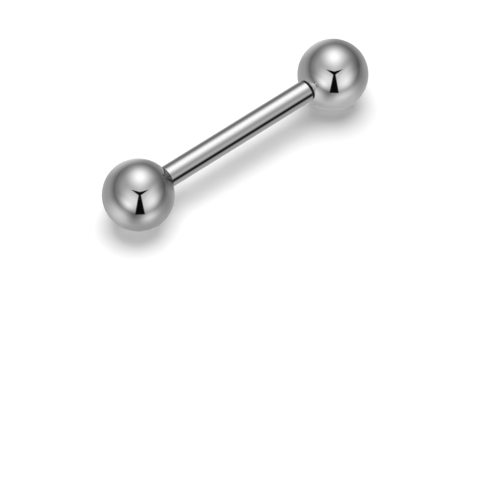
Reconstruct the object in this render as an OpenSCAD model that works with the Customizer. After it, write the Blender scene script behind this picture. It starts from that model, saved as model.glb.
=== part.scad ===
// Straight barbell: a round steel bar with a ball on each end.
// The ball at -X unscrews with its threaded stud, the ball at +X is pressed on.
// The bar lies along X, the two balls rest on z = 0, the origin is below the middle.

/* [Bar] */
// Diameter of the bar, 14 gauge
bar_d = 1.6; // [1.5:0.05:1.8]
// Length of bar that shows between the two balls
bar_length = 12.7; // [8:0.5:20]
// Bevel on the rim at both ends of the bar
rim_bevel = 0.1; // [0.06:0.01:0.12]
// Width of the flat ring that is left on the bar's open end
end_ring = 0.04; // [0.02:0.01:0.06]
// Depth of the plain counterbore in front of the thread
counterbore_depth = 0.28; // [0.2:0.01:0.4]

/* [Balls] */
// Diameter of both balls
ball_d = 5.0; // [4.5:0.1:6]
// Diameter of the flat on each ball that the bar's end meets
seat_d = 1.44; // [1.3:0.01:1.5]

/* [Screw thread] */
// Advance of the thread in one turn
pitch = 0.25; // [0.2:0.01:0.28]
// Diameter over the crests of the stud's thread
stud_crest_d = 1.12; // [1.08:0.01:1.14]
// Diameter at the root of the stud's thread
stud_root_d = 0.88; // [0.84:0.01:0.9]
// Length of stud that stands out of the ball
stud_reach = 1.7; // [1.2:0.1:1.9]
// Diameter of the plain pilot at the stud's tip
pilot_d = 0.8; // [0.74:0.01:0.82]
// Length of that pilot
pilot_length = 0.3; // [0.2:0.05:0.4]
// Depth of the threaded socket in the bar
socket_depth = 2.3; // [2.1:0.1:3]

/* [Press fits] */
// Diameter of the pins that are pressed into the balls
press_d = 0.9; // [0.86:0.01:0.94]
// Length of those pins inside the balls
press_length = 1.5; // [1:0.1:2]

/* [Hidden] */
$fn = 72;

// Running gap kept between any two pieces
gap = 0.03;
// Radial room between the crests of one thread and the roots of the other
thread_room = 0.04;
// Flat sides of the helical faces in one turn
sides = 24;
// Share of a turn over which a thread rises to its full height
fade_turns = 0.5;
// Turn at which the stud's ridge begins, counted from the bar's open end
first_turn = 0.25;

// Plain bore that is left between the socket's thread and its bottom
thread_stop = 0.2;
// How far the foot of a ridge is sunk into the cylinder that it stands on
sink = 0.05;
// Small bevel on the ends of the pins and the pilot
pin_bevel = 0.06;

// Half widths along the axis of the stud's ridge and of the groove that it runs in
ridge_foot = 0.338 * pitch;
ridge_crest = 0.06 * pitch;
groove_foot = 0.37 * pitch;
groove_crest = 0.09 * pitch;

bar_r = bar_d / 2;
ball_r = ball_d / 2;
press_r = press_d / 2;
bore_r = stud_root_d / 2 + thread_room;
groove_r = stud_crest_d / 2 + thread_room;
counterbore_r = bar_r - rim_bevel - end_ring;
drill_tip = bore_r / 2;

// Distance from a ball's centre to its flat
seat_offset = sqrt(pow(ball_r, 2) - pow(seat_d / 2, 2));
mouth_x = -bar_length / 2;
shoulder_x = bar_length / 2;
screw_seat_x = mouth_x - gap;
fixed_seat_x = shoulder_x + gap;

// Places what is drawn upwards so that it points along +X on the bar's axis
module along_axis(x) {
    translate([x, 0, ball_r]) rotate([0, 90, 0]) children();
}

// Height of a thread at one step, from 0 at both ends to 1
function fade(step, steps) = min(1, step / (fade_turns * sides), (steps - step) / (fade_turns * sides));

// Four corners of a thread's section: inner pair, then outer pair.
// half_in and half_out are half widths along the axis.
function section(turn, r_in, r_out, half_in, half_out) = [
    for (c = [[r_in, -half_in], [r_out, -half_out], [r_out, half_out], [r_in, half_in]])
        [c[0] * cos(360 * turn), c[0] * sin(360 * turn), pitch * turn + c[1]]
];

// Right-hand helical ridge with its foot inside a cylinder of radius r_foot
module helical_ridge(r_foot, r_crest, half_foot, half_crest, from_turn, to_turn) {
    steps = round((to_turn - from_turn) * sides);
    flank = (half_foot - half_crest) / (r_crest - r_foot);
    points = [
        for (i = [0:steps])
            let (
                turn = from_turn + i / sides,
                r_out = r_foot - sink / 2 + (r_crest - r_foot + sink / 2) * fade(i, steps)
            )
            each section(turn, r_foot - sink, r_out, half_foot + flank * sink,
                half_crest + flank * (r_crest - r_out))
    ];
    walls = [
        for (i = [0:steps - 1], k = [0:3])
            let (a = 4 * i + k, b = 4 * i + (k + 1) % 4)
            each [[a, b, b + 4], [a, b + 4, a + 4]]
    ];
    last = 4 * steps;
    ends = [[2, 1, 0], [3, 2, 0], [last, last + 1, last + 2], [last, last + 2, last + 3]];
    polyhedron(points, concat(walls, ends), convexity = 10);
}

// Bar: rims bevelled at both ends, stepped down to a press pin at the far end.
// The open end has a counterbore and a blind socket with an internal thread.
module bar() {
    pin_end = bar_length + gap + press_length;
    color("silver") along_axis(mouth_x) difference() {
        rotate_extrude() polygon([
            [0, 0], [bar_r - rim_bevel, 0], [bar_r, rim_bevel],
            [bar_r, bar_length - rim_bevel], [bar_r - rim_bevel, bar_length],
            [press_r, bar_length], [press_r, pin_end - pin_bevel],
            [press_r - pin_bevel, pin_end], [0, pin_end]
        ]);
        rotate_extrude() polygon([
            [0, -1], [counterbore_r, -1], [counterbore_r, counterbore_depth],
            [bore_r, counterbore_depth], [bore_r, socket_depth], [0, socket_depth + drill_tip]
        ]);
        helical_ridge(bore_r, groove_r, groove_foot, groove_crest,
            counterbore_depth / pitch - 1, (socket_depth - thread_stop) / pitch);
    }
}

// Ball with a flat where the bar meets it and a blind hole for a press pin.
// side is 1 where the bar is on the +X side of the ball, -1 where it is on the -X side.
module ball(seat_x, side) {
    hole_depth = press_length + 3 * gap;
    along_axis(seat_x) mirror([0, 0, (1 - side) / 2]) difference() {
        translate([0, 0, -seat_offset]) sphere(r = ball_r);
        cylinder(r = bar_r, h = ball_r);
        translate([0, 0, -hole_depth]) cylinder(r = press_r + gap, h = hole_depth + ball_r);
    }
}

// Ball that is pressed on the bar's far end and stays there
module fixed_ball() {
    color("lightgray") ball(fixed_seat_x, -1);
}

// Ball that comes off with the stud
module screw_ball() {
    color("gainsboro") ball(screw_seat_x, 1);
}

// Stud: plain pin inside the screw ball, then a male thread and a plain pilot
module threaded_stud() {
    root_r = stud_root_d / 2;
    pilot_r = pilot_d / 2;
    pin_start = -gap - press_length;
    tip = stud_reach - gap;
    color("darkgray") along_axis(mouth_x) union() {
        rotate_extrude() polygon([
            [0, pin_start], [press_r - pin_bevel, pin_start], [press_r, pin_start + pin_bevel],
            [press_r, -gap], [root_r, -gap], [root_r, tip - pilot_length],
            [pilot_r, tip - pilot_length], [pilot_r, tip - pin_bevel],
            [pilot_r - pin_bevel, tip], [0, tip]
        ]);
        helical_ridge(root_r, stud_crest_d / 2, ridge_foot, ridge_crest,
            first_turn, (tip - pilot_length - ridge_foot) / pitch);
    }
}

bar();
fixed_ball();
screw_ball();
threaded_stud();
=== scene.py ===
import math

import bmesh
import bpy
from mathutils import Matrix, Vector


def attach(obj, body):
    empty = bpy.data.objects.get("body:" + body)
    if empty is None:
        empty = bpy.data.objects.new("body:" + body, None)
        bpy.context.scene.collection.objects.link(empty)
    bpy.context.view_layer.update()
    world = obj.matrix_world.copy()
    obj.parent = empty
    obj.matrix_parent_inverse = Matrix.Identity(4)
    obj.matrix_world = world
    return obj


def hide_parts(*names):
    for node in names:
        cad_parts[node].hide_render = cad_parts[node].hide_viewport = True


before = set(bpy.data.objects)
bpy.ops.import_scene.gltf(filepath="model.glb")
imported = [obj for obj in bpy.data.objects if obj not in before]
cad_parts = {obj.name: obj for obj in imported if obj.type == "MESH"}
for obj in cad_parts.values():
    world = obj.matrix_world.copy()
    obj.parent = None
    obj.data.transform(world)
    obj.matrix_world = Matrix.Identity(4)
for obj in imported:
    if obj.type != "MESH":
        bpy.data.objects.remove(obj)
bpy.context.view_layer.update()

# Bar. A 14 gauge round rod of surgical steel, turned and then polished. Its rims are
# rounded over, and its open end is counterbored, drilled and tapped for the stud.
# The other end is turned down to a pin that is pressed into the fixed ball.
BAR_R, BAR_LENGTH, RIM_BEVEL, END_RING = 0.8, 12.7, 0.1, 0.04
PITCH, BORE_R, GROOVE_R = 0.25, 0.48, 0.60
GROOVE_FOOT, GROOVE_BOTTOM = 0.37 * PITCH, 0.09 * PITCH
COUNTERBORE, SOCKET_DEPTH, DRILL_TIP = 0.28, 2.3, 0.24
COUNTERBORE_R = BAR_R - RIM_BEVEL - END_RING
PIN_R, PIN_LENGTH, PIN_BEVEL, FIT_GAP = 0.45, 1.5, 0.06, 0.03
BALL_R = 2.5
MOUTH_X = -BAR_LENGTH / 2
SHOULDER_X = BAR_LENGTH / 2
AXIS = Vector((1, 0, 0))
CENTRE_LINE = Vector((0, 0, BALL_R))
# Shapes are made in millimetres, and a finished piece is brought to metres.
MM = 0.001


def linear(hex_colour):
    """Linear RGBA from an sRGB hex value."""
    parts = [int(hex_colour[i:i + 2], 16) / 255 for i in (1, 3, 5)]
    return tuple(c / 12.92 if c <= 0.04045 else ((c + 0.055) / 1.055) ** 2.4
                 for c in parts) + (1.0,)


def add(tree, kind, inputs=(), **settings):
    """Adds a node with its settings. An input is a value, or a socket or node to link
    from. Of a node, the first output is taken."""
    made = tree.nodes.new(kind)
    for name, value in settings.items():
        setattr(made, name, value)
    for socket, value in dict(inputs).items():
        if isinstance(value, bpy.types.Node):
            value = value.outputs[0]
        if isinstance(value, bpy.types.NodeSocket):
            tree.links.new(value, made.inputs[socket])
        else:
            made.inputs[socket].default_value = value
    return made


def new_finish(name):
    """An empty material, its node tree and its Principled shader's node."""
    material = bpy.data.materials.new(name)
    material.use_nodes = True
    return material, material.node_tree, material.node_tree.nodes["Principled BSDF"]


STEEL = linear("#CCCCCC")
BUMP_DEPTH = 0.01 * MM

# Mirror-polished 316L rod. The buffing wheel leaves faint rings round the bar, about
# 0.1 mm apart, which only soften the reflections a little along its length.
bar_steel, tree, steel = new_finish("buffed_surgical_steel_rod")
place = add(tree, "ShaderNodeTexCoord").outputs["Object"]
rings = add(tree, "ShaderNodeMapping", {"Vector": place, "Scale": (1, 0.04, 0.04)})
buffing = add(tree, "ShaderNodeTexNoise", {"Vector": rings, "Scale": 9000, "Detail": 3,
                                           "Roughness": 0.6})
haze = add(tree, "ShaderNodeTexNoise", {"Vector": place, "Scale": 700, "Detail": 2})
both = add(tree, "ShaderNodeMath", {0: buffing, 1: haze}, operation="MULTIPLY")
rough = add(tree, "ShaderNodeMapRange", {"Value": both, "From Min": 0.1, "From Max": 0.5,
                                         "To Min": 0.03, "To Max": 0.075})
bump = add(tree, "ShaderNodeBump", {"Height": buffing, "Strength": 0.02,
                                    "Distance": BUMP_DEPTH})
tree.links.new(rough.outputs[0], steel.inputs["Roughness"])
tree.links.new(bump.outputs[0], steel.inputs["Normal"])
steel.inputs["Base Color"].default_value = STEEL
steel.inputs["Metallic"].default_value = 1

# Steel as the cutting tool left it, on the faces that polishing doesn't reach: turned
# rings round the axis, drawn 0.3 mm apart so that they show, under a thin grey film that
# scatters some light.
cut_steel, tree, steel = new_finish("turned_surgical_steel")
place = add(tree, "ShaderNodeTexCoord").outputs["Object"]
on_axis = add(tree, "ShaderNodeMapping", {"Vector": place,
                                          "Location": (0, 0, -BALL_R * MM)})
rings = add(tree, "ShaderNodeTexWave", {"Vector": on_axis, "Scale": 1000,
                                        "Distortion": 0.6, "Detail": 1},
            wave_type="RINGS", rings_direction="X")
grain = add(tree, "ShaderNodeTexNoise", {"Vector": place, "Scale": 12000, "Detail": 2})
tone = add(tree, "ShaderNodeMix", {0: grain, 6: linear("#85868A"), 7: linear("#ABACAE")},
           data_type="RGBA")
bump = add(tree, "ShaderNodeBump", {"Height": rings, "Strength": 0.25,
                                    "Distance": BUMP_DEPTH})
tree.links.new(tone.outputs[2], steel.inputs["Base Color"])
tree.links.new(bump.outputs[0], steel.inputs["Normal"])
steel.inputs["Metallic"].default_value = 0.55
steel.inputs["Roughness"].default_value = 0.3

# Painted shade in the two joints, where the gap between bar and ball looks dark: a dull
# dark colour on the bevels, in patches of 0.3 mm, which draws a dark line round the bar.
joint_painted_shade, tree, joint_shade_node = new_finish("painted_joint_shade")
place = add(tree, "ShaderNodeTexCoord").outputs["Object"]
patches = add(tree, "ShaderNodeTexNoise", {"Vector": place, "Scale": 3500, "Detail": 3})
# Painted shade: dark greys in patches, standing in for the shade in the joint.
tone = add(tree, "ShaderNodeMix", {0: patches, 6: linear("#242526"), 7: linear("#4A4B4D")},
           data_type="RGBA")
bump = add(tree, "ShaderNodeBump", {"Height": patches, "Strength": 0.2,
                                    "Distance": BUMP_DEPTH})
tree.links.new(tone.outputs[2], joint_shade_node.inputs["Base Color"])
tree.links.new(bump.outputs[0], joint_shade_node.inputs["Normal"])
joint_shade_node.inputs["Roughness"].default_value = 0.45

# The tapped socket: its thread fades out above the drill's cone.
THREAD_STEPS, FLANK_CUTS, SPARE_TURNS = 96, 3, 2
THREAD_STOP, THREAD_FADE = 0.1, 0.12
SAME_PLACE = 1e-4


def outline(bm, points):
    """Joined vertices below the bar's axis, at each (place along X, radius)."""
    verts = [bm.verts.new((x, 0, BALL_R - radius)) for x, radius in points]
    edges = [bm.edges.new(pair) for pair in zip(verts, verts[1:])]
    return verts + edges


def radius_of(vert):
    return math.hypot(vert.co.y, vert.co.z - BALL_R)


def set_radius(vert, radius):
    scale = radius / radius_of(vert)
    vert.co.y *= scale
    vert.co.z = BALL_R + (vert.co.z - BALL_R) * scale


def rim_edges(bm, x):
    """The open edges of a surface that lie in the plane at x."""
    return [e for e in bm.edges
            if e.is_boundary and all(abs(v.co.x - x) < SAME_PLACE for v in e.verts)]


def grow(bm, edges, x, radius):
    """Draws a round opening's edge out to a new place and radius. Gives the new edge."""
    grown = bmesh.ops.extrude_edge_only(bm, edges=edges)["geom"]
    for vert in (g for g in grown if isinstance(g, bmesh.types.BMVert)):
        vert.co.x = x
        set_radius(vert, radius)
    return [g for g in grown if isinstance(g, bmesh.types.BMEdge)]


def screw_surface(bm, low_r, high_r, low_half, high_half, start_x, end_x):
    """Helical thread between two planes: a zigzag outline, turned while it advances by
    one pitch, so that each tooth ends on the start of the next. Its tops are at high_r,
    centred on the bar's open end and every pitch from there."""
    points = []
    first = math.floor((start_x - MOUTH_X) / PITCH) - SPARE_TURNS
    last = math.ceil((end_x - MOUTH_X) / PITCH) + SPARE_TURNS
    for turn in range(first, last + 1):
        middle = MOUTH_X + turn * PITCH
        points += [(middle - low_half, low_r), (middle - high_half, high_r),
                   (middle + high_half, high_r), (middle + low_half, low_r)]
    geometry = outline(bm, points)
    edges = [e for e in geometry if isinstance(e, bmesh.types.BMEdge)]
    bmesh.ops.subdivide_edges(bm, edges=edges, cuts=FLANK_CUTS)
    bmesh.ops.spin(bm, geom=bm.verts[:] + bm.edges[:], cent=CENTRE_LINE, axis=AXIS,
                   dvec=AXIS * PITCH / THREAD_STEPS, angle=math.tau, steps=THREAD_STEPS)
    bmesh.ops.remove_doubles(bm, verts=bm.verts, dist=SAME_PLACE)
    for plane_x, side in ((start_x, -1), (end_x, 1)):
        bmesh.ops.bisect_plane(bm, geom=bm.verts[:] + bm.edges[:] + bm.faces[:], dist=1e-6,
                               plane_co=(plane_x, 0, BALL_R), plane_no=(side, 0, 0),
                               clear_outer=True)


bm = bmesh.new()
thread_start = MOUTH_X + COUNTERBORE
socket_end = MOUTH_X + SOCKET_DEPTH
screw_surface(bm, BORE_R, GROOVE_R, GROOVE_FOOT, GROOVE_BOTTOM, thread_start, socket_end)
for vert in bm.verts:
    fade = min(1, max(0, (socket_end - THREAD_STOP - vert.co.x) / THREAD_FADE))
    set_radius(vert, BORE_R + (radius_of(vert) - BORE_R) * fade)
bmesh.ops.dissolve_degenerate(bm, dist=SAME_PLACE, edges=bm.edges)
tip = bmesh.ops.extrude_edge_only(bm, edges=rim_edges(bm, socket_end))["geom"]
tip = [v for v in tip if isinstance(v, bmesh.types.BMVert)]
bmesh.ops.pointmerge(bm, verts=tip, merge_co=(socket_end + DRILL_TIP, 0, BALL_R))
step = grow(bm, rim_edges(bm, thread_start), thread_start, COUNTERBORE_R)
grow(bm, step, MOUTH_X, COUNTERBORE_R)
for face in bm.faces:
    face.material_index = 1

# The outside, with a row of faces beside each bevel that keeps the bar's shading even.
ROUND_STEPS, BESIDE_BEVEL = 192, 0.03


def turn_round(bm, geometry):
    """Turns an outline once round the bar's axis, as a lathe does."""
    bmesh.ops.spin(bm, geom=geometry, cent=CENTRE_LINE, axis=AXIS, angle=math.tau,
                   steps=ROUND_STEPS, use_merge=True)
    bmesh.ops.remove_doubles(bm, verts=bm.verts, dist=SAME_PLACE)


def edges_at(bm, x, radius):
    """The edges round the bar's axis at one place and radius."""
    return [e for e in bm.edges
            if all(abs(v.co.x - x) < SAME_PLACE and abs(radius_of(v) - radius) < SAME_PLACE
                   for v in e.verts)]


shell = bmesh.new()
pin_end = SHOULDER_X + FIT_GAP + PIN_LENGTH
turn_round(shell, outline(shell, [
    (MOUTH_X, BAR_R - RIM_BEVEL - END_RING / 2), (MOUTH_X, BAR_R),
    (MOUTH_X + RIM_BEVEL + BESIDE_BEVEL, BAR_R), (0, BAR_R),
    (SHOULDER_X - RIM_BEVEL - BESIDE_BEVEL, BAR_R), (SHOULDER_X, BAR_R),
    (SHOULDER_X, PIN_R), (pin_end, PIN_R), (pin_end, 0)]))
rims = edges_at(shell, MOUTH_X, BAR_R) + edges_at(shell, SHOULDER_X, BAR_R)
bmesh.ops.bevel(shell, geom=rims, offset=RIM_BEVEL, segments=6, profile=0.5,
                affect="EDGES", material=-1)
bmesh.ops.bevel(shell, geom=edges_at(shell, pin_end, PIN_R), offset=PIN_BEVEL, segments=4,
                profile=0.5, affect="EDGES", material=-1)
shell_mesh = bpy.data.meshes.new("shell")
shell.to_mesh(shell_mesh)
shell.free()
bm.from_mesh(shell_mesh)
bpy.data.meshes.remove(shell_mesh)

# The flat ring round the mouth is cut steel. Both bevels get the painted joint shade, but
# the outer edge of the mouth's bevel is left as polished steel, which shows a bright edge.
POLISHED_EDGE_SHARE = 0.2
end_face = bmesh.ops.triangle_fill(bm, edges=rim_edges(bm, MOUTH_X), use_beauty=True,
                                   normal=AXIS)
for face in (g for g in end_face["geom"] if isinstance(g, bmesh.types.BMFace)):
    face.material_index = 1
for face in bm.faces:
    middle = face.calc_center_median()
    inwards = BAR_LENGTH / 2 - abs(middle.x)
    from_axis = math.hypot(middle.y, middle.z - BALL_R)
    polished_edge = middle.x < 0 and from_axis > BAR_R - RIM_BEVEL * POLISHED_EDGE_SHARE
    # Bevel faces get the painted joint shade, apart from the polished outer edge at the
    # mouth.
    if 0 < inwards < RIM_BEVEL and from_axis > BAR_R - RIM_BEVEL and not polished_edge:
        face.material_index = 2
CRISP_ANGLE = math.radians(32)


def finished(bm, name, *materials):
    """Makes the piece, in metres, with its normals outwards and its crisp edges kept."""
    bmesh.ops.recalc_face_normals(bm, faces=bm.faces)
    bmesh.ops.scale(bm, vec=(MM, MM, MM), verts=bm.verts)
    for face in bm.faces:
        face.smooth = True
    mesh = bpy.data.meshes.new(name)
    bm.to_mesh(mesh)
    bm.free()
    mesh.set_sharp_from_angle(angle=CRISP_ANGLE)
    for material in materials:
        mesh.materials.append(material)
    piece = bpy.data.objects.new(name, mesh)
    bpy.context.scene.collection.objects.link(piece)
    return piece


bar = finished(bm, "polished_bar", bar_steel, cut_steel, joint_painted_shade)
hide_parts("bar")
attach(bar, "bar")

# Fixed ball. A ball of the same steel, drilled and spot-faced where the bar meets it,
# then pressed on the bar's pin and mirror polished.
SEAT_R, SEAT_EDGE = 0.72, 0.02
SEAT_OFFSET = math.sqrt(BALL_R ** 2 - SEAT_R ** 2)
HOLE_R, HOLE_DEPTH = PIN_R + FIT_GAP, PIN_LENGTH + 3 * FIT_GAP
BALL_STEPS = 112
ON_FLAT = 1e-3

# Mirror-polished 316L ball: almost a perfect mirror. The last polish leaves a faint
# unevenness of about a millimetre, and hairlines drawn 0.1 mm apart so that they show.
ball_steel, tree, steel = new_finish("mirror_polished_surgical_steel")
place = add(tree, "ShaderNodeTexCoord").outputs["Object"]
cloud = add(tree, "ShaderNodeTexNoise", {"Vector": place, "Scale": 900, "Detail": 3})
hairlines = add(tree, "ShaderNodeMapping", {"Vector": place, "Rotation": (0.5, 0.9, 0.3),
                                            "Scale": (1, 0.06, 1)})
hairline = add(tree, "ShaderNodeTexNoise", {"Vector": hairlines, "Scale": 9000,
                                            "Detail": 2})
both = add(tree, "ShaderNodeMath", {0: cloud, 1: hairline}, operation="MULTIPLY")
rough = add(tree, "ShaderNodeMapRange", {"Value": both, "From Min": 0.1, "From Max": 0.5,
                                         "To Min": 0.03, "To Max": 0.07})
bump = add(tree, "ShaderNodeBump", {"Height": both, "Strength": 0.02,
                                    "Distance": BUMP_DEPTH})
tree.links.new(rough.outputs[0], steel.inputs["Roughness"])
tree.links.new(bump.outputs[0], steel.inputs["Normal"])
steel.inputs["Base Color"].default_value = STEEL
steel.inputs["Metallic"].default_value = 1


def steel_ball(name, seat_x, side):
    """Ball whose seat faces the bar. side is 1 where the bar is towards +X, else -1."""
    bm = bmesh.new()
    centre_x = seat_x - side * SEAT_OFFSET
    hole_end = seat_x - side * HOLE_DEPTH
    seat = outline(bm, [(hole_end, 0), (hole_end, HOLE_R), (seat_x, HOLE_R),
                        (seat_x, SEAT_R)])
    rim = seat[3]
    around = math.pi - math.asin(SEAT_R / BALL_R)
    bmesh.ops.spin(bm, geom=[rim], cent=(centre_x, 0, BALL_R), axis=(0, side, 0),
                   angle=around, steps=BALL_STEPS)
    pole = max(bm.verts, key=lambda vert: abs(vert.co.x - seat_x))
    pole.co = (centre_x - side * BALL_R, 0, BALL_R)
    turn_round(bm, bm.verts[:] + bm.edges[:])
    bmesh.ops.bevel(bm, geom=edges_at(bm, seat_x, SEAT_R), offset=SEAT_EDGE, segments=3,
                    profile=0.5, affect="EDGES", material=-1)
    for face in bm.faces:
        middle_x = face.calc_center_median().x
        in_hole = (max(radius_of(v) for v in face.verts) < HOLE_R + ON_FLAT
                   and abs(middle_x - centre_x) < SEAT_OFFSET)
        face.material_index = int(in_hole or abs(middle_x - seat_x) < ON_FLAT)
    return finished(bm, name, ball_steel, cut_steel)


fixed_ball = steel_ball("fixed_steel_ball", SHOULDER_X + FIT_GAP, -1)
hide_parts("fixed_ball")
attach(fixed_ball, "bar")

# Screw ball. The same ball at the open end, with the stud's plain end pressed into it.
# It comes off with the stud.
screw_ball = steel_ball("screw_steel_ball", MOUTH_X - FIT_GAP, 1)
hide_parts("screw_ball")
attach(screw_ball, "screw_ball")

# Threaded stud. A steel pin with a fine right-hand thread cut by a die. The thread runs
# out before the ball, and the tip is a plain pilot that finds the socket.
STUD_CREST_R, STUD_ROOT_R, STUD_REACH = 0.56, 0.44, 1.7
CREST_FOOT, CREST_TOP = 0.338 * PITCH, 0.06 * PITCH
PILOT_R, PILOT_LENGTH, PILOT_CONE = 0.4, 0.3, 0.03
RUN_OUT, PLAIN_END, TIP_BREAK = 0.16, 0.02, 0.3

# Steel cut by a thread die: crests painted bright as a highlight over roots painted black as
# shade, with fine torn lines that follow the cut, about 0.04 mm apart.
thread_steel_painted_shade, tree, steel = new_finish("die_cut_steel_painted_shade")
place = add(tree, "ShaderNodeTexCoord").outputs["Object"]
lines = add(tree, "ShaderNodeMapping", {"Vector": place, "Scale": (1, 0.15, 0.15)})
torn = add(tree, "ShaderNodeTexNoise", {"Vector": lines, "Scale": 24000, "Detail": 2})
on_axis = add(tree, "ShaderNodeMapping", {"Vector": place, "Location": (0, 0, -BALL_R * MM),
                                          "Scale": (0, 1, 1)})
from_axis = add(tree, "ShaderNodeVectorMath", {0: on_axis}, operation="LENGTH")
reach = add(tree, "ShaderNodeMath", {0: from_axis.outputs["Value"], 1: STUD_CREST_R * MM},
            operation="DIVIDE")
# Painted shade and highlight: the colour follows the distance from the stud's axis.
depth = add(tree, "ShaderNodeValToRGB", {"Fac": reach})
# Distance from the axis, and the colour painted there: black roots as shade, bright crests.
THREAD_PAINTED_SHADE = [(PILOT_R, "#CBCCCD"), (0.43, "#151617"), (0.465, "#1E1F20"),
                (0.505, "#C4C5C6"), (STUD_CREST_R, "#F0F1F2")]
for _ in THREAD_PAINTED_SHADE[2:]:
    depth.color_ramp.elements.new(0.5)
for stop, (radius, tone) in zip(depth.color_ramp.elements, THREAD_PAINTED_SHADE):
    stop.position = radius / STUD_CREST_R
    stop.color = linear(tone)
tone = add(tree, "ShaderNodeMix", {0: torn, 6: depth, 7: linear("#A3A4A6")},
           data_type="RGBA")
rough = add(tree, "ShaderNodeMapRange", {"Value": torn, "To Min": 0.08, "To Max": 0.2})
bump = add(tree, "ShaderNodeBump", {"Height": torn, "Strength": 0.15,
                                    "Distance": BUMP_DEPTH})
tree.links.new(tone.outputs[2], steel.inputs["Base Color"])
tree.links.new(rough.outputs[0], steel.inputs["Roughness"])
tree.links.new(bump.outputs[0], steel.inputs["Normal"])
steel.inputs["Metallic"].default_value = 1

bm = bmesh.new()
tip_x = MOUTH_X + STUD_REACH - FIT_GAP
neck_x = MOUTH_X - FIT_GAP
thread_end = tip_x - PILOT_LENGTH
screw_surface(bm, STUD_ROOT_R, STUD_CREST_R, CREST_FOOT, CREST_TOP, neck_x, thread_end)
for vert in bm.verts:
    fade = min(1, max(0, (vert.co.x - MOUTH_X) / RUN_OUT),
               max(0, (thread_end - PLAIN_END - vert.co.x) / RUN_OUT))
    set_radius(vert, STUD_ROOT_R + (radius_of(vert) - STUD_ROOT_R) * fade)
edge = rim_edges(bm, thread_end)
tip_break = PIN_BEVEL * TIP_BREAK
for x, radius in ((thread_end + PILOT_CONE, PILOT_R), (tip_x - PIN_BEVEL, PILOT_R),
                  (tip_x - tip_break, PILOT_R - tip_break), (tip_x, PILOT_R - PIN_BEVEL)):
    edge = grow(bm, edge, x, radius)
bmesh.ops.edgeloop_fill(bm, edges=edge)
edge = rim_edges(bm, neck_x)
pin_start = neck_x - PIN_LENGTH
for x, radius in ((neck_x, PIN_R), (pin_start + PIN_BEVEL, PIN_R),
                  (pin_start, PIN_R - PIN_BEVEL)):
    edge = grow(bm, edge, x, radius)
bmesh.ops.edgeloop_fill(bm, edges=edge)
stud = finished(bm, "die_cut_stud", thread_steel_painted_shade)
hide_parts("threaded_stud")
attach(stud, "threaded_stud")

# Camera. A long macro lens looks down at 49.5 degrees, from beyond the screw ball's end,
# so that the bar rises from the lower left to the upper right of the frame. Distances
# are in metres from here on, except those of the shapes.
LOOK_DOWN, BAR_TURN = math.radians(49.5), math.radians(39.883)
CAMERA_DISTANCE, AIM_RIGHT, AIM_UP = 0.300, 0.000916, -0.006428
LENS, SENSOR = 309.61, 36
right = Vector((math.cos(BAR_TURN), -math.sin(BAR_TURN), 0))
away = Vector((math.sin(BAR_TURN), math.cos(BAR_TURN), 0))
look = away * math.cos(LOOK_DOWN) - Vector((0, 0, math.sin(LOOK_DOWN)))
up = right.cross(look)
camera = bpy.data.objects.new("camera", bpy.data.cameras.new("camera"))
camera.data.lens, camera.data.sensor_width = LENS, SENSOR
camera.data.clip_start, camera.data.clip_end = 0.01, 10
camera.matrix_world = Matrix((right, up, -look)).transposed().to_4x4()
camera.location = right * AIM_RIGHT + up * AIM_UP - look * CAMERA_DISTANCE
bpy.context.scene.collection.objects.link(camera)
bpy.context.scene.camera = camera
bpy.context.scene.view_settings.view_transform = "Standard"

# Studio. A plain white table in a white room, under an overhead soft box. None of it
# shows in the steel, which mirrors only the light tent that is set up after it.
TABLE_R = 400
bm = bmesh.new()
bmesh.ops.create_circle(bm, cap_ends=True, radius=TABLE_R, segments=96)
table_paint, _, paint = new_finish("matt_white_table")
paint.inputs["Base Color"].default_value = linear("#F4F4F4")
paint.inputs["Roughness"].default_value = 0.9
paint.inputs["Specular IOR Level"].default_value = 0.1
table = finished(bm, "table", table_paint)
table.visible_glossy = False

# The room lights the table from low down, so that some light gets in under the balls.
# Heights are those of the direction of view, 0 at the horizon and 1 overhead.
LOW_WALL, CEILING = 0.33, 0.11
WALL_TOP, CEILING_EDGE = 0.55, 0.85
world = bpy.data.worlds.new("white_room")
bpy.context.scene.world = world
world.use_nodes = True
tree = world.node_tree
ray = add(tree, "ShaderNodeLightPath")
sky = add(tree, "ShaderNodeTexCoord").outputs["Generated"]
height = add(tree, "ShaderNodeSeparateXYZ", {0: sky}).outputs["Z"]
room = add(tree, "ShaderNodeMapRange", {"Value": height, "From Min": WALL_TOP,
                                        "From Max": CEILING_EDGE, "To Min": LOW_WALL,
                                        "To Max": CEILING},
           interpolation_type="SMOOTHSTEP")
seen = add(tree, "ShaderNodeMix", {0: ray.outputs["Is Camera Ray"], 2: room, 3: 1.0})
unseen = add(tree, "ShaderNodeMath", {0: 1.0, 1: ray.outputs["Is Glossy Ray"]},
             operation="SUBTRACT")
level = add(tree, "ShaderNodeMath", {0: seen, 1: unseen}, operation="MULTIPLY")
tree.links.new(level.outputs[0], tree.nodes["Background"].inputs["Strength"])
tree.nodes["Background"].inputs["Color"].default_value = linear("#FFFFFF")


def disk_lamp(name, size, power, towards, distance, middle):
    """A round area lamp, its power in watts, that lights the table and is never seen."""
    lamp = bpy.data.objects.new(name, bpy.data.lights.new(name, "AREA"))
    lamp.data.shape, lamp.data.size, lamp.data.energy = "DISK", size, power
    lamp.location = middle + towards.normalized() * distance
    lamp.rotation_euler = towards.to_track_quat("Z", "Y").to_euler()
    lamp.visible_glossy = False
    lamp.visible_camera = False
    bpy.context.scene.collection.objects.link(lamp)


# The soft box is overhead, a little to the right and behind.
BOX_SIZE, BOX_POWER, BOX_DISTANCE = 0.33, 1.05, 0.28
BOX_RIGHT, BOX_BACK = math.radians(2.4), math.radians(17.3)
towards_box = Vector((0, 0, 1)) + right * math.tan(BOX_RIGHT) + away * math.tan(BOX_BACK)
disk_lamp("soft_box", BOX_SIZE, BOX_POWER, towards_box, BOX_DISTANCE, Vector((0, 0, 0)))
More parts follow.
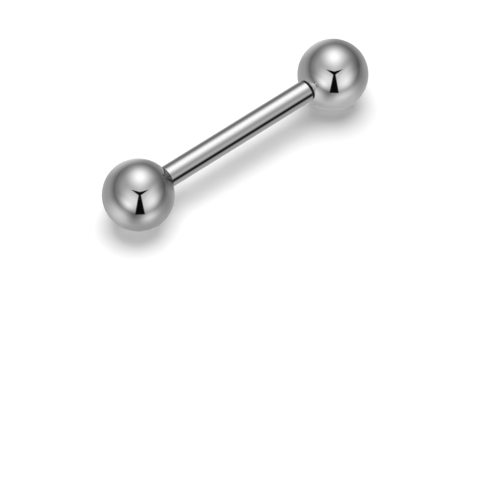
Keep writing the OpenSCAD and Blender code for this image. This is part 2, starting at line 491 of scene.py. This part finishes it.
# A small lamp in front of the screw ball thins that ball's shadow.
FRONT_SIZE, FRONT_POWER, FRONT_DISTANCE, FRONT_RISE = 0.01, 0.0018, 0.027, 0.9
below_ball = Vector((MOUTH_X - BALL_R, 0, 0)) * MM
disk_lamp("front_lamp", FRONT_SIZE, FRONT_POWER, Vector((0, 0, FRONT_RISE)) - away,
          FRONT_DISTANCE, below_ball)

# Light tent. What polished steel shows is what stands round it, so the tent that the
# photographer sets up is built as spheres that only reflections see. Greys run from 0 to
# 255, as seen in the steel.
towards_camera = (camera.location - CENTRE_LINE * MM).normalized()
tent_up = towards_camera.cross(right).normalized()
WHITE, INK = 255.0, 18.0
SCREEN_CURVE = 2.2
FILL = 1.5
# Thresholds for a count of reflections.
ONE_OR_MORE, TWO_OR_MORE = 0.5, 1.5


def tent_shell(name, radius, receivers):
    """A sphere round the studio that only the reflections of its receivers see.
    Gives its material's tree, and the node of the direction out from the object."""
    bm = bmesh.new()
    bmesh.ops.create_icosphere(bm, subdivisions=3, radius=radius)
    material = bpy.data.materials.new(name)
    material.use_nodes = True
    material.cycles.emission_sampling = "NONE"
    tree = material.node_tree
    tree.nodes.clear()
    shell = finished(bm, name, material)
    shell.visible_camera = shell.visible_diffuse = shell.visible_shadow = False
    seen_by = bpy.data.collections.new(name)
    for piece in receivers:
        seen_by.objects.link(piece)
    shell.light_linking.receiver_collection = seen_by
    place = add(tree, "ShaderNodeNewGeometry").outputs["Position"]
    outwards = add(tree, "ShaderNodeVectorMath", {0: place, 1: CENTRE_LINE * MM},
                   operation="SUBTRACT")
    out = add(tree, "ShaderNodeVectorMath", {0: outwards}, operation="NORMALIZE")
    return tree, out


def shine(tree, grey):
    """Lights a shell so that steel shows the greys. What the steel throws back down to
    the table is raised by FILL."""
    share = add(tree, "ShaderNodeMath", {0: grey, 1: WHITE}, operation="DIVIDE")
    curve = add(tree, "ShaderNodeMath", {0: share, 1: SCREEN_CURVE}, operation="POWER")
    strength = add(tree, "ShaderNodeMath", {0: curve, 1: STEEL[1]}, operation="DIVIDE")
    ray = add(tree, "ShaderNodeLightPath")
    from_table = add(tree, "ShaderNodeMath", {0: ray.outputs["Diffuse Depth"],
                                              1: ONE_OR_MORE}, operation="GREATER_THAN")
    fill = add(tree, "ShaderNodeMath", {0: from_table, 1: FILL - 1, 2: 1.0},
               operation="MULTIPLY_ADD")
    filled = add(tree, "ShaderNodeMath", {0: strength, 1: fill}, operation="MULTIPLY")
    glow = add(tree, "ShaderNodeEmission", {"Strength": filled})
    clear = add(tree, "ShaderNodeBsdfTransparent")
    glow_only = add(tree, "ShaderNodeAddShader", {0: glow, 1: clear})
    add(tree, "ShaderNodeOutputMaterial", {"Surface": glow_only})


def second_reflection(tree):
    """1 where one piece shows another's reflection of the tent, else 0."""
    ray = add(tree, "ShaderNodeLightPath")
    return add(tree, "ShaderNodeMath", {0: ray.outputs["Glossy Depth"], 1: TWO_OR_MORE},
               operation="GREATER_THAN")


# The balls' tents are drawn as a mirror ball shows them from the camera: across and up
# run from -1 to 1 over the ball. The wall darkens to its foot, the dark ring. It is given
# as the distance from the ring's middle, in ring radii, and the grey there.
RING_X, RING_Y, RING_R = 0.035, 0.1675, 0.689
WALL_END = 1.7
WALL = [(0, 181), (0.45, 164), (0.7, 150.5), (0.85, 127), (0.93, 112.7), (1.0, 99),
        (1.07, 121), (1.2, 146), (1.45, 155), (1.7, 140)]

# Soft lamps and shadows on the tent: centre, half sizes, turn in radians, grey added.
LAMPS = [
    (0.041, 0.516, 0.441, 0.475, 1.429, 100.4),    # overhead lamp
    (-0.201, -0.203, 0.501, 0.333, -1.175, 69.0),  # left front panel
    (-0.301, -0.259, 0.516, 0.141, -0.724, 41.1),
    (0.331, -0.157, 0.539, 0.625, -0.688, 65.3),   # right front panel
    (0.32, -0.33, 1.012, 0.212, 0.823, 26.0),
    (-0.497, -0.492, 0.385, 0.538, 0.78, 56.4),    # table, lit at the left
    (0.301, -0.605, 0.378, 0.204, 0.56, 57.9),     # table, lit at the right
    (-0.159, 1.038, 1.6, 0.3, 0.508, 44.0),        # far side of the table
    (0.691, -0.006, 0.322, 0.805, 0.137, -29.0),   # right side, in shade
    (-0.115, -0.557, 0.357, 0.291, 1.796, -30.9),  # camera stand's shadow
    (0.178, -0.015, 0.453, 0.117, 0.992, -19.0),
    (0.252, 0.219, 0.492, 0.159, 0.669, -14.6),
]
# The screw ball stands at the opening, with a little less light all round, and is in
# shade beside the bar. The fixed ball stands deeper in the tent, over more lit table.
SCREW_BALL_LAMPS = [(-0.022, -0.508, 1.6, 1.6, 0, -4.9), (0.9, 0.36, 0.42, 0.2, 1.97, -55)]
FIXED_BALL_LAMPS = [(0.271, -0.678, 0.511, 1.019, -1.07, 33.2),
                    (0.281, -0.583, 0.304, 0.384, -0.96, -39.1)]

# The opening that the lens looks through: a slit from the lens down to the tent's foot,
# wider below, and the two folds of cloth that lift away from its top and thin out.
SLIT_X, SLIT_TOP, SLIT_FOOT = 0.044, 0.055, -0.525
SLIT_HALF, SLIT_SPREAD, SLIT_EDGE, FOOT_EDGE = 0.03, 0.19, 0.015, 0.012
FOLD_Y, FOLD_RISE, FOLD_HALF, FOLD_TAPER, FOLD_EDGE = 0.022, 0.5, 0.055, -0.24, 0.012

# Each row's last value is the share of grey that is left where the other ball shows it.
for tent_name, radius, ball, own_lamps, second_share in (
        ("tent_round_the_screw_ball", 300, screw_ball, SCREW_BALL_LAMPS, 1.0),
        ("tent_round_the_fixed_ball", 305, fixed_ball, FIXED_BALL_LAMPS, 0.65)):
    tree, out = tent_shell(tent_name, radius, [ball])
    half_way = add(tree, "ShaderNodeVectorMath", {0: out, 1: towards_camera},
                   operation="ADD")
    facing = add(tree, "ShaderNodeVectorMath", {0: half_way}, operation="NORMALIZE")
    across = add(tree, "ShaderNodeVectorMath", {0: facing, 1: right},
                 operation="DOT_PRODUCT").outputs["Value"]
    upward = add(tree, "ShaderNodeVectorMath", {0: facing, 1: tent_up},
                 operation="DOT_PRODUCT").outputs["Value"]
    spot = add(tree, "ShaderNodeCombineXYZ", {"X": across, "Y": upward})

    off_middle = add(tree, "ShaderNodeVectorMath", {0: spot, 1: (RING_X, RING_Y, 0)},
                     operation="DISTANCE").outputs["Value"]
    from_ring = add(tree, "ShaderNodeMath", {0: off_middle, 1: RING_R * WALL_END},
                    operation="DIVIDE")
    wall = add(tree, "ShaderNodeValToRGB", {"Fac": from_ring})
    for _ in WALL[2:]:
        wall.color_ramp.elements.new(0.5)
    for stop, (at, tone) in zip(wall.color_ramp.elements, WALL):
        stop.position = at / WALL_END
        stop.color = (tone / WHITE, tone / WHITE, tone / WHITE, 1)
    grey = add(tree, "ShaderNodeMath", {0: wall, 1: WHITE}, operation="MULTIPLY")
    for x, y, half_x, half_y, turn, amount in LAMPS + own_lamps:
        local = add(tree, "ShaderNodeMapping", {"Vector": spot, "Location": (x, y, 0),
                                                "Rotation": (0, 0, turn),
                                                "Scale": (half_x, half_y, 1)},
                    vector_type="TEXTURE")
        cone = add(tree, "ShaderNodeTexGradient", {"Vector": local},
                   gradient_type="SPHERICAL").outputs["Fac"]
        soft = add(tree, "ShaderNodeMapRange", {"Value": cone},
                   interpolation_type="SMOOTHSTEP")
        grey = add(tree, "ShaderNodeMath", {0: soft, 1: amount, 2: grey},
                   operation="MULTIPLY_ADD")

    off_slit = add(tree, "ShaderNodeMath", {0: across, 1: SLIT_X}, operation="SUBTRACT")
    aside = add(tree, "ShaderNodeMath", {0: off_slit}, operation="ABSOLUTE")
    downward = add(tree, "ShaderNodeMath", {0: upward, 1: -1.0}, operation="MULTIPLY")
    below = add(tree, "ShaderNodeMath", {0: downward, 1: 0.0}, operation="MAXIMUM")
    half_slit = add(tree, "ShaderNodeMath", {0: below, 1: SLIT_SPREAD, 2: SLIT_HALF},
                    operation="MULTIPLY_ADD")
    inside = add(tree, "ShaderNodeMath", {0: half_slit, 1: aside}, operation="SUBTRACT")
    in_slit = add(tree, "ShaderNodeMapRange", {"Value": inside, "From Min": -SLIT_EDGE,
                                               "From Max": SLIT_EDGE},
                  interpolation_type="SMOOTHSTEP")
    under_top = add(tree, "ShaderNodeMapRange", {
        "Value": upward, "From Min": SLIT_TOP + SLIT_EDGE, "From Max": SLIT_TOP - SLIT_EDGE})
    over_foot = add(tree, "ShaderNodeMapRange", {
        "Value": upward, "From Min": SLIT_FOOT - FOOT_EDGE,
        "From Max": SLIT_FOOT + FOOT_EDGE})
    slit = add(tree, "ShaderNodeMath", {0: in_slit, 1: under_top}, operation="MULTIPLY")
    slit = add(tree, "ShaderNodeMath", {0: slit, 1: over_foot}, operation="MULTIPLY")

    fold_middle = add(tree, "ShaderNodeMath", {0: aside, 1: FOLD_RISE, 2: FOLD_Y},
                      operation="MULTIPLY_ADD")
    half_fold = add(tree, "ShaderNodeMath", {0: aside, 1: FOLD_TAPER, 2: FOLD_HALF},
                    operation="MULTIPLY_ADD")
    over_fold = add(tree, "ShaderNodeMath", {0: upward, 1: fold_middle},
                    operation="SUBTRACT")
    off_fold = add(tree, "ShaderNodeMath", {0: over_fold}, operation="ABSOLUTE")
    inside = add(tree, "ShaderNodeMath", {0: half_fold, 1: off_fold}, operation="SUBTRACT")
    fold = add(tree, "ShaderNodeMapRange", {"Value": inside, "From Min": -FOLD_EDGE,
                                            "From Max": FOLD_EDGE},
               interpolation_type="SMOOTHSTEP")
    dark = add(tree, "ShaderNodeMath", {0: slit, 1: fold}, operation="MAXIMUM")
    shown = add(tree, "ShaderNodeMix", {0: dark, 2: grey, 3: INK})
    dimmed = add(tree, "ShaderNodeMath", {0: shown, 1: second_share}, operation="MULTIPLY")
    shown = add(tree, "ShaderNodeMix", {0: second_reflection(tree), 2: shown, 3: dimmed})
    shine(tree, shown)

# The bar's tent: long strip lights and black cards parallel to the bar. A place on the
# strip list is the share of the bar's half width, from its lower to its upper edge, at
# which the camera sees that grey.
STRIPS = [(-1.0, 160), (-0.74, 150), (-0.56, 16), (-0.34, 168), (-0.09, 149), (0.34, 251),
          (0.45, 251), (0.79, 104), (1.0, 210)]
tree, out = tent_shell("strips_along_the_bar", 2500, [bar, stud])
towards = Vector((0, towards_camera.y, towards_camera.z)).normalized()
upper = AXIS.cross(towards)
if upper.dot(tent_up) < 0:
    upper = -upper
over = add(tree, "ShaderNodeVectorMath", {0: out, 1: upper},
           operation="DOT_PRODUCT").outputs["Value"]
front = add(tree, "ShaderNodeVectorMath", {0: out, 1: towards},
            operation="DOT_PRODUCT").outputs["Value"]
turn = add(tree, "ShaderNodeMath", {0: over, 1: front}, operation="ARCTAN2")
part_turn = add(tree, "ShaderNodeMath", {0: turn, 1: 1 / math.tau, 2: 0.5},
                operation="MULTIPLY_ADD")
strips = add(tree, "ShaderNodeValToRGB", {"Fac": part_turn})
for _ in STRIPS[2:]:
    strips.color_ramp.elements.new(0.5)
strips.color_ramp.interpolation = "EASE"
for stop, (at, tone) in zip(strips.color_ramp.elements, STRIPS):
    stop.position = math.asin(at) / math.pi + 0.5
    stop.color = (tone / WHITE, tone / WHITE, tone / WHITE, 1)
grey = add(tree, "ShaderNodeMath", {0: strips, 1: WHITE}, operation="MULTIPLY")

# What a ball shows of the bar is plainer than the bar itself: pale in the fixed ball and
# dark in the screw ball. Each row gives where along the bar that starts and is complete,
# the share of the strips' grey that is kept, and grey added.
IN_BALLS = [(-0.55, -0.68, 0.25, 163.0), (0.47, 0.55, 0.3, 42.0)]
along = add(tree, "ShaderNodeVectorMath", {0: out, 1: AXIS},
            operation="DOT_PRODUCT").outputs["Value"]
second = second_reflection(tree)
for start, end, share, tone in IN_BALLS:
    past = add(tree, "ShaderNodeMapRange", {"Value": along, "From Min": start,
                                            "From Max": end},
               interpolation_type="SMOOTHSTEP")
    in_ball = add(tree, "ShaderNodeMath", {0: past, 1: second}, operation="MULTIPLY")
    plainer = add(tree, "ShaderNodeMath", {0: grey, 1: share, 2: tone},
                  operation="MULTIPLY_ADD")
    grey = add(tree, "ShaderNodeMix", {0: in_ball, 2: grey, 3: plainer})
shine(tree, grey)
